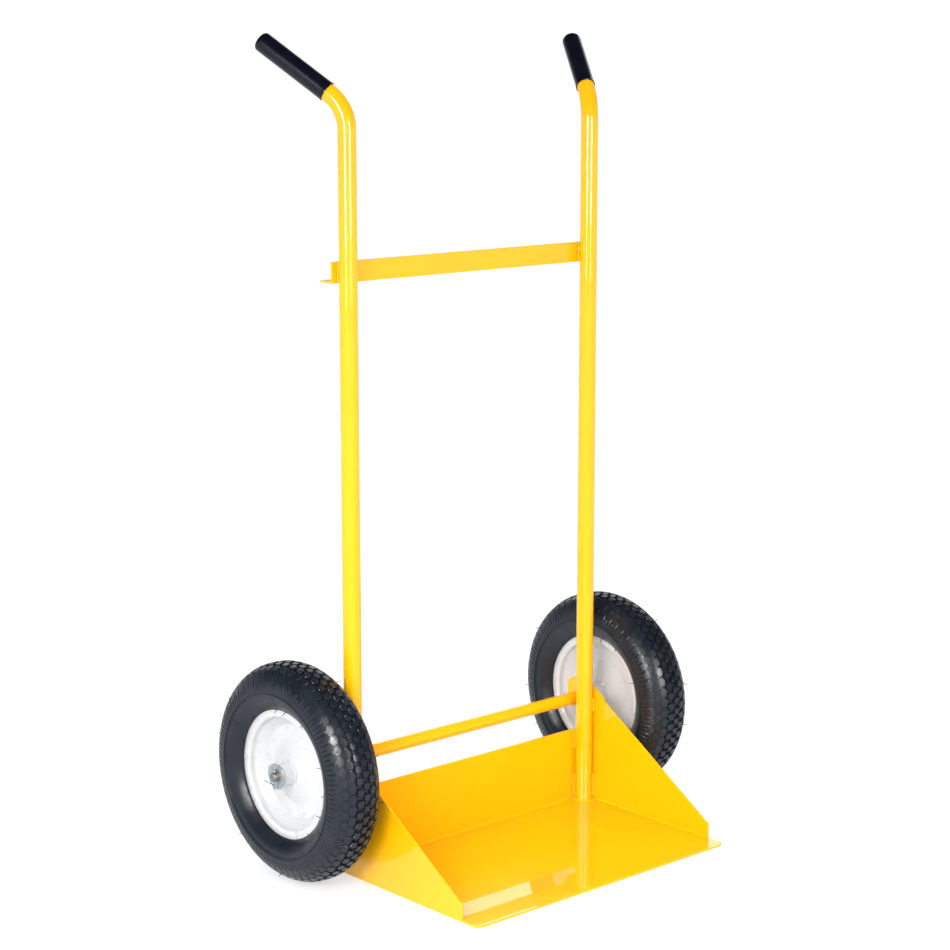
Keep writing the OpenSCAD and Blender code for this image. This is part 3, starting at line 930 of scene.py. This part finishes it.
for name, side in SIDES.items():
    rims(name, side)
    hub(name, side)
    tyre(name, side)
    finish(f"{name}_inner_tube", "tube_rubber")
    finish(f"{name}_valve_stem", "tube_rubber")
    finish(f"{name}_valve_cap", "black_plastic")
    finish(f"{name}_bearing_balls", "bearing_steel")
    finish(f"{name}_bearing_outer_rings", "bearing_steel")
    finish(f"{name}_bearing_shields", "zinc_steel")
finish("bearing_inner_rings", "bearing_steel")


# ---- Floor, light and camera ----

def floor_and_light():
    scene = bpy.context.scene
    mesh = bpy.data.meshes.new("floor")
    reach = 30
    mesh.from_pydata([(-reach, -reach, 0), (reach, -reach, 0), (reach, reach, 0), (-reach, reach, 0)], [],
                     [(0, 1, 2, 3)])
    floor = bpy.data.objects.new("floor", mesh)
    scene.collection.objects.link(floor)
    mat, bsdf = shader("pale_floor", Roughness=0.9, Specular_IOR_Level=0.1,
                       Emission_Color=(0.97, 0.985, 1.0, 1), Emission_Strength=0.56)
    link(mat, ramp(mat, noise(mat, 3, 2), [(0.3, (0.50, 0.50, 0.50)), (0.7, (0.51, 0.51, 0.51))]), bsdf, "Base Color")
    mesh.materials.append(mat)
    floor.visible_glossy = False

    scene.world = studio_world()
    scene.view_settings.view_transform = "Standard"
    scene.view_settings.look = "None"

    key, fill = (-2.70, -1.10, 1.33), (-0.50, -2.90, 1.33)
    softbox("key", key, 0.30, 1.30, 21)
    softbox("fill", fill, 0.26, 1.30, 15)
    for name, (x, y, _), width, power in (("key_glint", key, 0.50, 56), ("fill_glint", fill, 0.44, 48)):
        glint = softbox(name, (x, y, 1.38), width, 0.95, power, (0, 0, 1.38))
        glint.visible_diffuse = False
    low = softbox("low", (-2.4, -1.7, 1.6), 1.0, 1.0, 5, (0.1, -0.1, 0.1))
    low.data.spread = math.radians(45)
    low.visible_glossy = False


def studio_world():
    """An even white surround; glossy surfaces see a white floor, a dark room and a bright backdrop."""
    world = bpy.data.worlds.new("studio")
    world.use_nodes = True
    nodes, links = world.node_tree.nodes, world.node_tree.links
    white = nodes["Background"]
    white.inputs["Color"].default_value = (0.98, 0.99, 1.0, 1)
    white.inputs["Strength"].default_value = 1.05
    coords = nodes.new("ShaderNodeTexCoord")
    split = nodes.new("ShaderNodeSeparateXYZ")
    fade = nodes.new("ShaderNodeValToRGB")
    room = nodes.new("ShaderNodeBackground")
    path = nodes.new("ShaderNodeLightPath")
    mix = nodes.new("ShaderNodeMixShader")
    fade.color_ramp.elements.new(0.5)
    stops = ((0.0, 1.0), (0.02, 0.55), (0.35, 0.03))
    for (place, level), element in zip(stops, fade.color_ramp.elements):
        element.position = place
        element.color = (level * 0.93, level * 0.97, level, 1)
    behind = nodes.new("ShaderNodeVectorMath")
    behind.operation = "DOT_PRODUCT"
    behind.inputs[1].default_value = (0.67, 0.74, 0)
    facing = nodes.new("ShaderNodeMapRange")
    facing.inputs["From Min"].default_value = 0.75
    facing.inputs["From Max"].default_value = 0.86
    above = nodes.new("ShaderNodeMapRange")
    above.inputs["From Min"].default_value = 0.16
    above.inputs["From Max"].default_value = 0.24
    within = nodes.new("ShaderNodeMath")
    within.operation = "MULTIPLY"
    backdrop = nodes.new("ShaderNodeBackground")
    backdrop.inputs["Color"].default_value = (1, 1, 1, 1)
    backdrop.inputs["Strength"].default_value = 2.0
    lit = nodes.new("ShaderNodeMixShader")
    links.new(coords.outputs["Generated"], behind.inputs[0])
    links.new(behind.outputs["Value"], facing.inputs["Value"])
    links.new(split.outputs["Z"], above.inputs["Value"])
    links.new(facing.outputs["Result"], within.inputs[0])
    links.new(above.outputs["Result"], within.inputs[1])
    links.new(within.outputs["Value"], lit.inputs["Fac"])
    links.new(room.outputs["Background"], lit.inputs[1])
    links.new(backdrop.outputs["Background"], lit.inputs[2])
    links.new(coords.outputs["Generated"], split.inputs["Vector"])
    links.new(split.outputs["Z"], fade.inputs["Fac"])
    links.new(fade.outputs["Color"], room.inputs["Color"])
    links.new(path.outputs["Is Glossy Ray"], mix.inputs["Fac"])
    links.new(white.outputs["Background"], mix.inputs[1])
    links.new(lit.outputs["Shader"], mix.inputs[2])
    links.new(mix.outputs["Shader"], nodes["World Output"].inputs["Surface"])
    return world


def softbox(name, location, width, height, power, target=(0, 0, 0.6)):
    """A rectangular light that faces the target."""
    data = bpy.data.lights.new(name, "AREA")
    data.shape = "RECTANGLE"
    data.size, data.size_y = width, height
    data.energy = power
    lamp = bpy.data.objects.new(name, data)
    lamp.location = location
    lamp.rotation_mode = "QUATERNION"
    lamp.rotation_quaternion = (lamp.location - Vector(target)).to_track_quat("Z", "Y")
    bpy.context.scene.collection.objects.link(lamp)
    return lamp


def camera():
    data = bpy.data.cameras.new("camera")
    data.sensor_width = 36
    data.lens = 36 * 2.43143
    data.clip_end = 100
    cam = bpy.data.objects.new("camera", data)
    cam.location = (-2.80670, -3.12534, 1.50274)
    cam.rotation_euler = (math.radians(90 - 10.842), 0, math.radians(-41.954))
    bpy.context.scene.collection.objects.link(cam)
    bpy.context.scene.camera = cam


floor_and_light()
camera()
